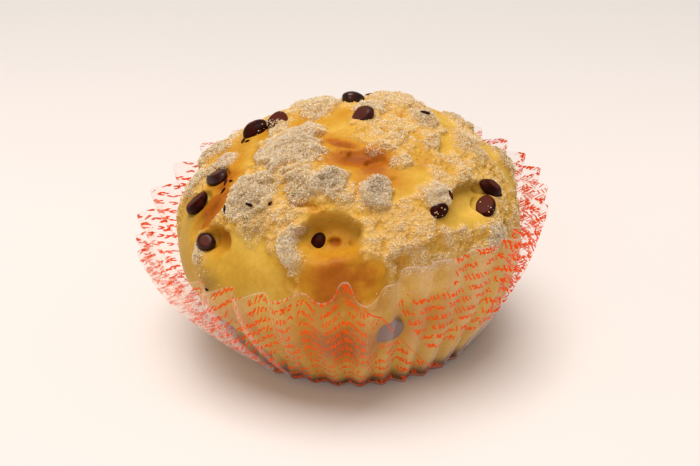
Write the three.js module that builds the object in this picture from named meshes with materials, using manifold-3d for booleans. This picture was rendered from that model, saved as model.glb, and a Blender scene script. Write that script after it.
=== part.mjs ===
// A chocolate-chip melon bun in its clear fluted film case.
// Millimetres, +Z up, the case standing on z = 0 and centred on the origin. The front of the bun is -Y.
// Azimuths are in degrees from +X towards +Y, and elevations are in degrees above the level of the bun's heart.
import * as THREE from "three";
import { mergeVertices } from "three/addons/utils/BufferGeometryUtils.js";
import Module from "manifold-3d";

// The case is a thin film cup. It splays low and wide on its left and stands upright at its front right.
const film = {
  thickness: 0.6,
  floorThickness: 0.4,
  floorCentreX: 3.5,
  floorHalfWidth: 29,
  floorHalfDepth: 27,
  bulge: 1.55,
  flutes: 32,
  foldAzimuth: -92.7,
  fluteDepthAtFloor: 0.7,
  fluteDepthAtRim: 2.3,
  columnsPerFlute: 6,
  wallRows: 4,
};

// A stretch of the wall at the front right lies almost flat against the bun, and one fold beside it stands up.
const flattened = { azimuth: -54, halfWidth: 24, share: 0.7 };
const tallFold = { azimuth: -92.7, halfWidth: 3, rise: 2.2 };

// How far the wall leans out from the floor's edge, and how high its rim is, going round the case.
const rimStations = [
  { azimuth: 0, run: 16, height: 40 },
  { azimuth: 60, run: 20, height: 40 },
  { azimuth: 90, run: 22, height: 39 },
  { azimuth: 135, run: 24, height: 35 },
  { azimuth: 165, run: 24, height: 30 },
  { azimuth: 180, run: 23.5, height: 28.5 },
  { azimuth: 210, run: 23.5, height: 31 },
  { azimuth: 240, run: 23, height: 35 },
  { azimuth: 257, run: 22.5, height: 37 },
  { azimuth: 277, run: 21, height: 36 },
  { azimuth: 286, run: 11.5, height: 38 },
  { azimuth: 315, run: 13, height: 39 },
  { azimuth: 345, run: 17.5, height: 38.5 },
  { azimuth: 360, run: 16, height: 40 },
];

// The bun rises from the case as a dome round its heart, and is pressed into the case's wall and floor below.
const bun = {
  heart: new THREE.Vector3(3, 0, 29),
  halfWidth: 43.5,
  topHeight: 58.7,
  undersideDepth: 46,
  roundness: 1.95,
  pressing: 24,
  topLean: 3,
  wallClearance: 0.3,
  rimOverhang: 6,
  floorClearance: 0.3,
  detail: 12,
};

// On the left the underside hangs further clear of the case, from just above the floor to below the peeled rim.
const slack = { azimuth: -150, halfWidth: 34, depth: 6.3, foot: 7, shoulder: 15, top: 27 };

// Swellings of the crust over buried chips and sugar, and hollows where it has cracked or sunk.
// halfWide runs level round the bun, halfTall runs up it, and height is outwards.
const relief = [
  { azimuth: -151, elevation: 54, halfWide: 7.5, halfTall: 7, height: 1.6 },
  { azimuth: 134, elevation: 61, halfWide: 6, halfTall: 6, height: 1.2 },
  { azimuth: -141, elevation: 32, halfWide: 6.5, halfTall: 6.5, height: 1.8 },
  { azimuth: -120, elevation: 40, halfWide: 4.5, halfTall: 5, height: 1.3 },
  { azimuth: -110, elevation: 46, halfWide: 5, halfTall: 4.5, height: 1.6 },
  { azimuth: -83, elevation: 42, halfWide: 4.5, halfTall: 5, height: 1.8 },
  { azimuth: -112, elevation: 21, halfWide: 4.5, halfTall: 5.5, height: 2 },
  { azimuth: -52, elevation: 36, halfWide: 4, halfTall: 4, height: 2 },
  { azimuth: 18, elevation: 61, halfWide: 5, halfTall: 5, height: 1 },
  { azimuth: -3, elevation: 42, halfWide: 5.5, halfTall: 5, height: 1.2 },
  { azimuth: -130, elevation: 24, halfWide: 4.5, halfTall: 4.5, height: 0.8 },
  { azimuth: -33, elevation: 12, halfWide: 4.5, halfTall: 4, height: 1 },
  { azimuth: 12, elevation: 23, halfWide: 4.5, halfTall: 5, height: 1.5 },
  { azimuth: -140, elevation: 0, halfWide: 4.5, halfTall: 4.5, height: 1.5 },
  { azimuth: 62, elevation: 56, halfWide: 9, halfTall: 7, height: 2.2 },
  { azimuth: -100, elevation: 23.5, halfWide: 6.5, halfTall: 5.5, height: -3.4 },
  { azimuth: -94, elevation: 60, halfWide: 7, halfTall: 4, height: -1.5 },
  { azimuth: -36, elevation: 28, halfWide: 7, halfTall: 4.5, height: -2.6 },
  { azimuth: -158, elevation: 13, halfWide: 3.5, halfTall: 5, height: -1.5 },
  { azimuth: -144, elevation: 14, halfWide: 4.5, halfTall: 4, height: -2 },
  { azimuth: -96, elevation: 13, halfWide: 6, halfTall: 5, height: -1.2 },
];

// The chips that show: each lies with its length turned from level by turn degrees, and rise is how far its
// middle stands out from the crust.
const chips = [
  { azimuth: 162, elevation: 41, halfLength: 3.6, halfWidth: 3.4, halfHeight: 2.5, turn: 70, rise: 0.5 },
  { azimuth: 163, elevation: 51, halfLength: 3.5, halfWidth: 2.6, halfHeight: 2.1, turn: 0, rise: 0.4 },
  { azimuth: -169, elevation: 27, halfLength: 3.9, halfWidth: 2.5, halfHeight: 1.9, turn: 35, rise: 0.2 },
  { azimuth: -165, elevation: 17.5, halfLength: 4.3, halfWidth: 2.9, halfHeight: 2.2, turn: 55, rise: 0.6 },
  { azimuth: -148, elevation: 11, halfLength: 2.6, halfWidth: 2.2, halfHeight: 1.9, turn: 0, rise: 0.4 },
  { azimuth: 99, elevation: 62, halfLength: 3.1, halfWidth: 2.5, halfHeight: 2.2, turn: 20, rise: 0.9 },
  { azimuth: 83, elevation: 54, halfLength: 1.8, halfWidth: 1.6, halfHeight: 1.5, turn: 0, rise: 0.2 },
  { azimuth: 100, elevation: 87, halfLength: 3.1, halfWidth: 2.7, halfHeight: 2.2, turn: -15, rise: 0.2 },
  { azimuth: -21, elevation: 27, halfLength: 3.6, halfWidth: 2.3, halfHeight: 1.9, turn: -45, rise: 0.2 },
  { azimuth: -30, elevation: 23.5, halfLength: 3.1, halfWidth: 2.6, halfHeight: 1.9, turn: 40, rise: 0.2 },
  { azimuth: -105.5, elevation: 22, halfLength: 2.3, halfWidth: 1.8, halfHeight: 1.8, turn: 75, rise: 0 },
  { azimuth: -55, elevation: 30, halfLength: 2.4, halfWidth: 1.9, halfHeight: 1.7, turn: 0, rise: 0.5 },
  { azimuth: -77, elevation: -12, halfLength: 4.2, halfWidth: 3.3, halfHeight: 1.5, turn: 0, rise: -1.1 },
];
const chip = { gap: 0.4, taper: 0.22, sides: 8, rings: 5 };

const colours = { bun: 0xd9a94f, film: 0xf1d9c8, chocolate: 0x3a1a12 };

const wasm = await Module();
wasm.setup();

const radians = THREE.MathUtils.degToRad;

// The angle between two azimuths, from 0 to 180 degrees.
function azimuthGap(a, b) {
  const turn = THREE.MathUtils.euclideanModulo(a - b, 360);
  return Math.min(turn, 360 - turn);
}

// The wall's run and rim height at an azimuth, straight between the stations on either side.
function rimAt(azimuth) {
  const around = THREE.MathUtils.euclideanModulo(azimuth, 360);
  const next = Math.max(1, rimStations.findIndex((station) => station.azimuth >= around));
  const [from, to] = [rimStations[next - 1], rimStations[next]];
  const share = (around - from.azimuth) / (to.azimuth - from.azimuth);
  return {
    run: THREE.MathUtils.lerp(from.run, to.run, share),
    height: THREE.MathUtils.lerp(from.height, to.height, share),
  };
}

// The oval floor's radius about its own centre.
function floorRadius(azimuth) {
  const across = film.floorHalfDepth * Math.cos(radians(azimuth));
  const along = film.floorHalfWidth * Math.sin(radians(azimuth));
  return (film.floorHalfWidth * film.floorHalfDepth) / Math.hypot(across, along);
}

// The wall's radius without its flutes: it leaves the floor leaning out and steepens towards the rim.
function wallRadius(azimuth, height) {
  const rim = rimAt(azimuth);
  const share = THREE.MathUtils.clamp(height / rim.height, 0, 1);
  return floorRadius(azimuth) + rim.run * (1 - (1 - share) ** film.bulge);
}

// How deep the flutes are at a share of the way from floor to rim: least on the flattened stretch.
function fluteDepth(azimuth, share) {
  const depth = THREE.MathUtils.lerp(film.fluteDepthAtFloor, film.fluteDepthAtRim, share);
  const closeness = 1 - azimuthGap(azimuth, flattened.azimuth) / flattened.halfWidth;
  return depth * (1 - flattened.share * THREE.MathUtils.smoothstep(closeness, 0, 0.3));
}

// How far a flute stands out from the mean wall.
function fluteOffset(azimuth, share) {
  return -fluteDepth(azimuth, share) * Math.cos(film.flutes * radians(azimuth - film.foldAzimuth));
}

// The height of the rim, with the one fold that stands above the others.
function rimHeight(azimuth) {
  const closeness = azimuthGap(azimuth, tallFold.azimuth) / tallFold.halfWidth;
  return rimAt(azimuth).height + tallFold.rise * Math.exp(-(closeness ** 2));
}

// Writes a position for each vertex of a geometry, and leaves it with shared vertices and positions only.
function reshape(geometry, place) {
  const position = geometry.attributes.position;
  const vertex = new THREE.Vector3();
  for (let i = 0; i < position.count; i += 1) {
    const placed = place(vertex.fromBufferAttribute(position, i), i);
    position.setXYZ(i, placed.x, placed.y, placed.z);
  }
  geometry.deleteAttribute("normal");
  geometry.deleteAttribute("uv");
  return mergeVertices(geometry, 1e-3);
}

// The cup's outline from the middle of its underside, up the outer wall, over the rim and down the inner wall.
function cupOutline() {
  const shares = Array.from({ length: film.wallRows + 1 }, (_, row) => row / film.wallRows);
  return [
    { inset: Infinity, share: 0, lift: 0 },
    ...shares.map((share) => ({ inset: 0, share, lift: 0 })),
    ...shares.reverse().map((share) => ({ inset: film.thickness, share, lift: film.floorThickness })),
    { inset: Infinity, share: 0, lift: film.floorThickness },
  ];
}

// The fluted cup: a lathe whose rings are moved out to the wall of each azimuth.
function cupGeometry() {
  const outline = cupOutline();
  const columns = film.flutes * film.columnsPerFlute;
  const rings = outline.map((point, ring) => new THREE.Vector2(point.inset < Infinity ? 1 : 0, ring));
  return reshape(new THREE.LatheGeometry(rings, columns), (vertex, i) => {
    const { inset, share, lift } = outline[i % outline.length];
    const azimuth = ((Math.floor(i / outline.length) % columns) * 360) / columns + film.foldAzimuth;
    const height = Math.max(rimHeight(azimuth) * share, lift);
    const wall = wallRadius(azimuth, height) + fluteOffset(azimuth, share);
    const radius = inset < Infinity ? wall - inset : 0;
    const x = film.floorCentreX + radius * Math.cos(radians(azimuth));
    return vertex.set(x, radius * Math.sin(radians(azimuth)), height);
  });
}

// How much further the bun keeps from the wall: a bell round the slack's azimuth, fading out above and at the foot.
function slackAt(azimuth, height) {
  const { smoothstep } = THREE.MathUtils;
  const bell = Math.exp(-((azimuthGap(azimuth, slack.azimuth) / slack.halfWidth) ** 2));
  return slack.depth * bell * smoothstep(height, 0, slack.foot) * (1 - smoothstep(height, slack.shoulder, slack.top));
}

// How far the bun may reach from its heart in a direction before it meets the case's wall.
function reachToWall(direction) {
  const place = new THREE.Vector3();
  let [near, far] = [0, 2 * bun.halfWidth];
  while (far - near > 0.01) {
    const middle = (near + far) / 2;
    place.copy(bun.heart).addScaledVector(direction, middle);
    const [x, y] = [place.x - film.floorCentreX, place.y];
    const azimuth = THREE.MathUtils.radToDeg(Math.atan2(y, x));
    const rim = rimAt(azimuth).height;
    const depth = fluteDepth(azimuth, THREE.MathUtils.clamp(place.z / rim, 0, 1));
    const innerWall = wallRadius(azimuth, place.z) - depth - film.thickness;
    const clearance = bun.wallClearance + slackAt(azimuth, place.z);
    const free = place.z > rim + bun.rimOverhang;
    if (free || Math.hypot(x, y) < innerWall - clearance) near = middle;
    else far = middle;
  }
  return near;
}

// How far the dome reaches from the bun's heart in a direction: a rounded oval, lower above than below.
function reachOfDome(direction) {
  const half = direction.z > 0 ? bun.topHeight - bun.heart.z : bun.undersideDepth;
  const level = Math.hypot(direction.x, direction.y) / bun.halfWidth;
  const upright = Math.abs(direction.z) / half;
  return (level ** bun.roundness + upright ** bun.roundness) ** (-1 / bun.roundness);
}

// The unit vector towards an azimuth and elevation, with the level and upward directions across it.
function facing(azimuth, elevation) {
  const [turn, climb] = [radians(azimuth), radians(elevation)];
  const out = new THREE.Vector3(Math.cos(turn) * Math.cos(climb), Math.sin(turn) * Math.cos(climb), Math.sin(climb));
  const level = new THREE.Vector3(-Math.sin(turn), Math.cos(turn), 0);
  return { out, level, up: new THREE.Vector3().crossVectors(out, level) };
}

const reliefFrames = relief.map((mark) => ({ ...mark, ...facing(mark.azimuth, mark.elevation) }));

// The swellings and hollows in a direction: each is a smooth mound, measured across the bun's surface.
function reliefAt(direction, reach) {
  let height = 0;
  for (const mark of reliefFrames) {
    if (direction.dot(mark.out) <= 0) continue;
    const across = (direction.dot(mark.level) * reach) / mark.halfWide;
    const along = (direction.dot(mark.up) * reach) / mark.halfTall;
    height += mark.height * Math.exp(-(across ** 2) - along ** 2);
  }
  return height;
}

// The point of the bun's crust in a direction from its heart.
function crustPoint(direction) {
  const [dome, wall] = [reachOfDome(direction), reachToWall(direction)];
  const reach = (dome ** -bun.pressing + wall ** -bun.pressing) ** (-1 / bun.pressing);
  const relieved = Math.min(reach + reliefAt(direction, reach), wall);
  const floor = film.floorThickness + bun.floorClearance;
  const toFloor = direction.z < 0 ? (bun.heart.z - floor) / -direction.z : Infinity;
  const point = bun.heart.clone().addScaledVector(direction, Math.min(relieved, toFloor));
  const climb = Math.max(0, (point.z - bun.heart.z) / (bun.topHeight - bun.heart.z));
  point.x += bun.topLean * climb ** 2;
  return point;
}

function bunGeometry() {
  return reshape(new THREE.IcosahedronGeometry(1, bun.detail), (vertex) => crustPoint(vertex.normalize()));
}

// The crust's outward direction and tangents at an azimuth and elevation, from neighbouring points.
function crustFrame(azimuth, elevation) {
  const { out, level, up } = facing(azimuth, elevation);
  const step = 0.02;
  const beside = (way) => crustPoint(out.clone().addScaledVector(way, step).normalize());
  const point = crustPoint(out);
  const along = beside(level).sub(point).normalize();
  const outward = along.clone().cross(beside(up).sub(point)).normalize();
  return { point, along, across: outward.clone().cross(along), outward };
}

// A chip, or with some growth its socket: a rounded drop, narrower towards its outer side.
function chipGeometry(place, growth) {
  const { point, along, across, outward } = crustFrame(place.azimuth, place.elevation);
  const turned = new THREE.Matrix4().makeBasis(along, across, outward);
  turned.multiply(new THREE.Matrix4().makeRotationZ(radians(place.turn)));
  turned.setPosition(point.addScaledVector(outward, place.rise));
  const half = new THREE.Vector3(place.halfLength, place.halfWidth, place.halfHeight).addScalar(growth);
  const drop = new THREE.SphereGeometry(1, chip.sides, chip.rings).rotateX(Math.PI / 2);
  return reshape(drop, (vertex) => {
    const narrowing = 1 - chip.taper * vertex.z;
    return vertex.multiply(new THREE.Vector3(narrowing, narrowing, 1)).multiply(half).applyMatrix4(turned);
  });
}

function toSolid(geometry) {
  const mesh = new wasm.Mesh({
    numProp: 3,
    vertProperties: new Float32Array(geometry.attributes.position.array),
    triVerts: new Uint32Array(geometry.index.array),
  });
  return new wasm.Manifold(mesh);
}

function fromSolid(solid) {
  const mesh = solid.getMesh();
  const geometry = new THREE.BufferGeometry();
  geometry.setAttribute("position", new THREE.BufferAttribute(mesh.vertProperties, 3));
  geometry.setIndex(new THREE.BufferAttribute(mesh.triVerts, 1));
  return geometry;
}

function named(name, geometry, material) {
  const mesh = new THREE.Mesh(geometry, material);
  mesh.name = name;
  return mesh;
}

// The bun with a socket for every chip.
function bunMesh() {
  let solid = toSolid(bunGeometry());
  for (const place of chips) solid = solid.subtract(toSolid(chipGeometry(place, chip.gap)));
  const crust = new THREE.MeshStandardMaterial({ color: colours.bun, roughness: 0.75, metalness: 0 });
  return named("bun", fromSolid(solid), crust);
}

function caseMesh() {
  const clear = { color: colours.film, roughness: 0.35, metalness: 0, transparent: true, opacity: 0.45 };
  return named("film_case", cupGeometry(), new THREE.MeshStandardMaterial(clear));
}

function chipMesh(place, index) {
  const chocolate = new THREE.MeshStandardMaterial({ color: colours.chocolate, roughness: 0.35, metalness: 0 });
  return named(`chip_${index + 1}`, chipGeometry(place, 0), chocolate);
}

const melonBun = new THREE.Group();
melonBun.add(bunMesh(), caseMesh(), ...chips.map(chipMesh));

export default melonBun;
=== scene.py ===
import math

import bpy
import numpy as np
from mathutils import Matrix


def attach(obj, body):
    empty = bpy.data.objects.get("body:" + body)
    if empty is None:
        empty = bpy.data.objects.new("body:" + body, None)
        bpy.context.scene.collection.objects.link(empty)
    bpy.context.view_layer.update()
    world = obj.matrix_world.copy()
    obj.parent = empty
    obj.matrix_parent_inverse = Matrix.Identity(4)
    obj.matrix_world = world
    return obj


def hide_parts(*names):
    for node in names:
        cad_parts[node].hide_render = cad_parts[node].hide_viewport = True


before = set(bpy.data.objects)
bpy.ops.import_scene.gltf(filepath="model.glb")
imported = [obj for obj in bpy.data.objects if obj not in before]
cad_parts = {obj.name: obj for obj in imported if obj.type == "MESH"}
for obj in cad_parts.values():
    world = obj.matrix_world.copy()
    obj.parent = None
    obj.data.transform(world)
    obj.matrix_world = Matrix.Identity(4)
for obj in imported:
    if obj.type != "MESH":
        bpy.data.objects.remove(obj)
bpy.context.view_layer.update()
mm = 0.001  # lengths below are in millimetres, and meshes are written in metres
print("frame loaded")


def smooth(low, high, x):
    # 0 below low, 1 above high, and 3t^2 - 2t^3 between
    t = np.clip((x - low) / (high - low), 0, 1)
    return t * t * (3 - 2 * t)


def facing(azimuth, elevation):
    # unit vector towards an azimuth and elevation in degrees, with the level and upward directions across it
    a, e = np.radians(azimuth), np.radians(elevation)
    out = np.stack([np.cos(a) * np.cos(e), np.sin(a) * np.cos(e), np.sin(e) + 0 * a], -1)
    level = np.stack([-np.sin(a), np.cos(a), 0 * a], -1)
    return out, level, np.cross(out, level)


def latticeKey(cell, seed):
    # a scrambled whole number from 0 to 4095 for each cell of a cubic lattice
    c = cell + seed * 17
    return (c[..., 0] * 73856093 ^ c[..., 1] * 19349663 ^ c[..., 2] * 83492791) & 4095


def latticeNoise(points, size, seed):
    # value noise from -1 to 1: a random number at each lattice corner, blended by smoothstep
    values = np.random.default_rng(seed).uniform(-1, 1, 4096)
    q = points / size + 100.0
    cell = np.floor(q).astype(np.int64)
    f = q - cell
    f = f * f * (3 - 2 * f)
    total = 0
    for corner in range(8):
        step = np.array([corner & 1, corner >> 1 & 1, corner >> 2 & 1])
        weight = np.prod(np.where(step == 1, f, 1 - f), axis=-1)
        total = total + values[latticeKey(cell + step, seed)] * weight
    return total


def fractalNoise(points, size, seed, octaves=3):
    # octaves of value noise, each half the size and strength of the one before
    return sum(latticeNoise(points, size / 2 ** k, seed + k) / 2 ** k for k in range(octaves)) / 1.5


def clumpNoise(points, size, seed):
    # one rounded clump in each lattice cell: sqrt(1 - (distance to the nearest middle / reach)^2)
    clumpReach = 0.75
    jitter = np.random.default_rng(seed).uniform(0.1, 0.9, (4096, 3))
    q = points / size + 100.0
    cell = np.floor(q).astype(np.int64)
    nearest = np.full(points.shape[:-1], 9.0)
    for corner in range(27):
        step = np.array([corner % 3 - 1, corner // 3 % 3 - 1, corner // 9 - 1])
        middle = cell + step + jitter[latticeKey(cell + step, seed)]
        nearest = np.minimum(nearest, np.linalg.norm(q - middle, axis=-1))
    return np.sqrt(np.clip(1 - (nearest / clumpReach) ** 2, 0, 1))


def unit(vectors):
    # each vector divided by its length
    return vectors / np.maximum(np.linalg.norm(vectors, axis=-1, keepdims=True), 1e-12)


def gridFaces(columns, rows):
    # quads of a grid that closes on itself across its columns
    i, j = np.meshgrid(np.arange(columns), np.arange(rows - 1), indexing="ij")
    after = (i + 1) % columns
    quads = [i * rows + j, after * rows + j, after * rows + j + 1, i * rows + j + 1]
    return np.stack(quads, -1).reshape(-1, 4)


def poleFan(columns, rows, pole, last):
    # triangles from a pole's vertex to the first or last row of a closed grid, facing out
    i = np.arange(columns)
    here, after = i * rows, (i + 1) % columns * rows
    pair = [here + rows - 1, after + rows - 1] if last else [after, here]
    return np.stack([np.full(columns, pole), *pair], -1)


def makePiece(name, vertices, faces, material):
    # a smooth-shaded mesh from arrays in millimetres; faces is a list of arrays with 3 or 4 columns
    mesh = bpy.data.meshes.new(name)
    corners = np.concatenate([f.ravel() for f in faces]).astype(np.int32)
    sizes = np.concatenate([np.full(len(f), f.shape[1]) for f in faces]).astype(np.int32)
    mesh.vertices.add(len(vertices))
    mesh.vertices.foreach_set("co", (vertices * mm).astype(np.float32).ravel())
    mesh.loops.add(len(corners))
    mesh.loops.foreach_set("vertex_index", corners)
    mesh.polygons.add(len(sizes))
    mesh.polygons.foreach_set("loop_start", np.concatenate([[0], np.cumsum(sizes)[:-1]]).astype(np.int32))
    mesh.update(calc_edges=True)
    mesh.polygons.foreach_set("use_smooth", np.ones(len(sizes), bool))
    piece = bpy.data.objects.new(name, mesh)
    bpy.context.scene.collection.objects.link(piece)
    mesh.materials.append(material)
    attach(piece, "root")
    return piece


def addAttribute(piece, name, values):
    # a number at each vertex, for the materials to read
    values = np.ascontiguousarray(values, dtype=np.float32).ravel()
    piece.data.attributes.new(name, "FLOAT", "POINT").data.foreach_set("value", values)


def paint(code):
    # linear colour from a six-figure screen colour
    channels = [int(code[k:k + 2], 16) / 255 for k in (0, 2, 4)]
    return (*[c / 12.92 if c <= 0.04045 else ((c + 0.055) / 1.055) ** 2.4 for c in channels], 1)


class Flow:
    # a socket's value, whose arithmetic adds Math nodes to the tree at hand
    def __init__(self, socket):
        self.socket = socket

    def __add__(self, other):
        return calc("ADD", self, other)

    def __sub__(self, other):
        return calc("SUBTRACT", self, other)

    def __rsub__(self, other):
        return calc("SUBTRACT", other, self)

    def __mul__(self, other):
        return calc("MULTIPLY", self, other)

    def __truediv__(self, other):
        return calc("DIVIDE", self, other)

    def __lt__(self, other):
        return calc("LESS_THAN", self, other)

    def __gt__(self, other):
        return calc("GREATER_THAN", self, other)


def feed(node, inputs):
    # an input is linked if it is given a socket's value, and set if it is given a plain one
    for key, given in inputs.items():
        if isinstance(given, Flow):
            tree.links.new(given.socket, node.inputs[key])
        else:
            node.inputs[key].default_value = given


def addNode(kind, inputs=None, **settings):
    # a new node in the tree at hand
    node = tree.nodes.new(kind)
    for key, setting in settings.items():
        setattr(node, key, setting)
    feed(node, inputs or {})
    return node


def value(kind, output, inputs=None, **settings):
    # one output of a new node
    return Flow(addNode(kind, inputs, **settings).outputs[output])


def calc(operation, a, b=0.0):
    # a Math node's answer from a and b
    return value("ShaderNodeMath", 0, {0: a, 1: b}, operation=operation)


def within(flow, middle, half):
    # 1 where a value is less than half from the middle, and 0 elsewhere
    return calc("ABSOLUTE", flow - middle) < half


def remap(flow, low, high, toLow=0.0, toHigh=1.0):
    # a smoothstep of the value between low and high
    inputs = {"Value": flow, "From Min": low, "From Max": high, "To Min": toLow, "To Max": toHigh}
    return value("ShaderNodeMapRange", 0, inputs, interpolation_type="SMOOTHSTEP")


def blend(factor, a, b, mode="MIX"):
    # from colour a to colour b by the factor
    return value("ShaderNodeMix", 2, {0: factor, 6: a, 7: b}, data_type="RGBA", blend_type=mode)


def noise(place, scale, detail=2.0, roughness=0.5):
    # soft random spots, from about 0 to 1
    inputs = {"Vector": place, "Scale": scale, "Detail": detail, "Roughness": roughness}
    return value("ShaderNodeTexNoise", 0, inputs)


def cellDistance(place, scale):
    # distance to the nearest of the points scattered one to a cell
    return value("ShaderNodeTexVoronoi", "Distance", {"Vector": place, "Scale": scale})


def bumpOf(height, depth, strength):
    # the normal, tilted by the slope of height * depth
    return value("ShaderNodeBump", 0, {"Height": height, "Distance": depth, "Strength": strength})


def splitUp(vector):
    # x, y and z of a vector
    parts = addNode("ShaderNodeSeparateXYZ", {0: vector}).outputs
    return [Flow(part) for part in parts]


def objectPlace():
    # the point being shaded, in metres
    return value("ShaderNodeTexCoord", "Object")


def readAttribute(name):
    # the number that addAttribute has put on the piece
    return value("ShaderNodeAttribute", "Fac", attribute_name=name)


def makeGroup(name, inputs, outputs):
    # the tree at hand becomes a shader group, with inputs {label: default, or None for a vector}
    # and outputs {label: socket type}
    global tree
    tree = bpy.data.node_groups.new(name, "ShaderNodeTree")
    for label, default in inputs.items():
        kind = "NodeSocketVector" if default is None else "NodeSocketFloat"
        socket = tree.interface.new_socket(label, in_out="INPUT", socket_type=kind)
        if default is not None:
            socket.default_value = default
    for label, kind in outputs.items():
        tree.interface.new_socket(label, in_out="OUTPUT", socket_type=kind)
    given = addNode("NodeGroupInput").outputs
    return tree, {label: Flow(given[label]) for label in inputs}, addNode("NodeGroupOutput")


def makeMaterial(name):
    # the tree at hand becomes a material's, with one Principled shader
    global tree
    material = bpy.data.materials.new(name)
    material.use_nodes = True
    tree = material.node_tree
    tree.nodes.clear()
    shader = addNode("ShaderNodeBsdfPrincipled")
    addNode("ShaderNodeOutputMaterial", {"Surface": Flow(shader.outputs[0])})
    return material, shader


# the case's form, as in the part
caseForm = {
    "floorCentreX": 3.5, "floorHalfWidth": 29.0, "floorHalfDepth": 27.0, "bulge": 1.55,
    "flutes": 32, "foldAzimuth": -92.7, "depthAtFloor": 0.8, "depthAtRim": 2.5, "unevenness": 0.22 / 1.8,
    # waves round the case: how many, phase, weight
    "depthWaves": [(5, 1.3, 1.0), (11, 0.4, 1.0), (17, 2.2, 0.7)],
    "strayWaves": [(3, 0.7, 0.35), (7, 2.9, 0.3)],
    "flattenedAzimuth": -54, "flattenedHalfWidth": 24, "flattenedShare": 0.75,
    "tallFoldAzimuth": -92.7, "tallFoldHalfWidth": 2.5, "tallFoldRise": 3.2,
    "lift": 0.15, "floorRings": [0.3, 0.6, 0.85], "columns": 960, "rows": 60, "printStart": 400.0,
    # azimuth, how far the wall leans out, height of the rim
    "rim": [(0, 16, 40), (60, 20, 40), (90, 22, 39), (135, 24, 35), (165, 24, 30), (180, 23.5, 28.5),
            (210, 23.5, 31), (240, 23, 35), (257, 22.5, 37), (277, 21, 36), (286, 11.5, 38),
            (315, 13, 39), (345, 17.5, 38.5), (360, 16, 40)],
}


def azimuthGap(a, b):
    # degrees between two azimuths, the shorter way round
    turn = np.mod(a - b, 360)
    return np.minimum(turn, 360 - turn)


def rimAt(azimuth):
    # run and rim height, straight between the stations on either side
    stations = np.array(caseForm["rim"], float)
    around = np.mod(azimuth, 360)
    return [np.interp(around, stations[:, 0], stations[:, k]) for k in (1, 2)]


def wallRadius(azimuth, height):
    # oval floor radius + run * (1 - (1 - height share)^bulge)
    w, d = caseForm["floorHalfWidth"], caseForm["floorHalfDepth"]
    floor = w * d / np.hypot(d * np.cos(np.radians(azimuth)), w * np.sin(np.radians(azimuth)))
    run, rim = rimAt(azimuth)
    return floor + run * (1 - (1 - np.clip(height / rim, 0, 1)) ** caseForm["bulge"])


def waves(azimuth, parts):
    # sum of weight * sin(count * azimuth + phase)
    return sum(weight * np.sin(count * np.radians(azimuth) + phase) for count, phase, weight in parts)


def fluteDepth(azimuth, share):
    # depth grows from floor to rim, differs from flute to flute, and is calm on the flattened stretch
    closeness = 1 - azimuthGap(azimuth, caseForm["flattenedAzimuth"]) / caseForm["flattenedHalfWidth"]
    calm = 1 - caseForm["flattenedShare"] * smooth(0, 0.3, closeness) * smooth(0.15, 0.5, share)
    depth = caseForm["depthAtFloor"] + (caseForm["depthAtRim"] - caseForm["depthAtFloor"]) * share
    return depth * calm * (1 + caseForm["unevenness"] * waves(azimuth, caseForm["depthWaves"]))


def fluteOffset(azimuth, share):
    # -depth * cos(flutes * angle from a fold), each fold but the tall one straying a little to one side
    strays = caseForm["strayWaves"]
    stray = waves(azimuth, strays) - waves(caseForm["tallFoldAzimuth"], strays)
    turn = caseForm["flutes"] * np.radians(azimuth - caseForm["foldAzimuth"]) + stray
    return -fluteDepth(azimuth, share) * np.cos(turn)


def rimHeight(azimuth):
    # the rim between its stations, plus rise * exp(-closeness^4) at the tall fold
    closeness = azimuthGap(azimuth, caseForm["tallFoldAzimuth"]) / caseForm["tallFoldHalfWidth"]
    return rimAt(azimuth)[1] + caseForm["tallFoldRise"] * np.exp(-closeness ** 4)


# the bun's form, as in the part, with the imprint of the case and the mesh's density
bunForm = {
    "heart": np.array([3.0, 0.0, 29.0]), "halfWidth": 43.5, "topHeight": 58.7, "undersideDepth": 46.0,
    "roundness": 1.95, "pressing": 24, "topLean": 3.0, "wallClearance": 0.3, "imprint": 0.9,
    "slack": 6.3, "slackAzimuth": -150, "slackHalfWidth": 34, "slackFoot": 7, "slackFade": (15, 27),
    "rimOverhang": 6.0, "floor": 0.45, "wallHalvings": 15, "columns": 560, "frontDensity": 0.3,
    # elevations between which the grid's rows are evenly spaced, and how many: closest where the foot turns
    "rowStations": [-90, -50, -40, 90], "rowCounts": [8, 20, 141],
}

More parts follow.
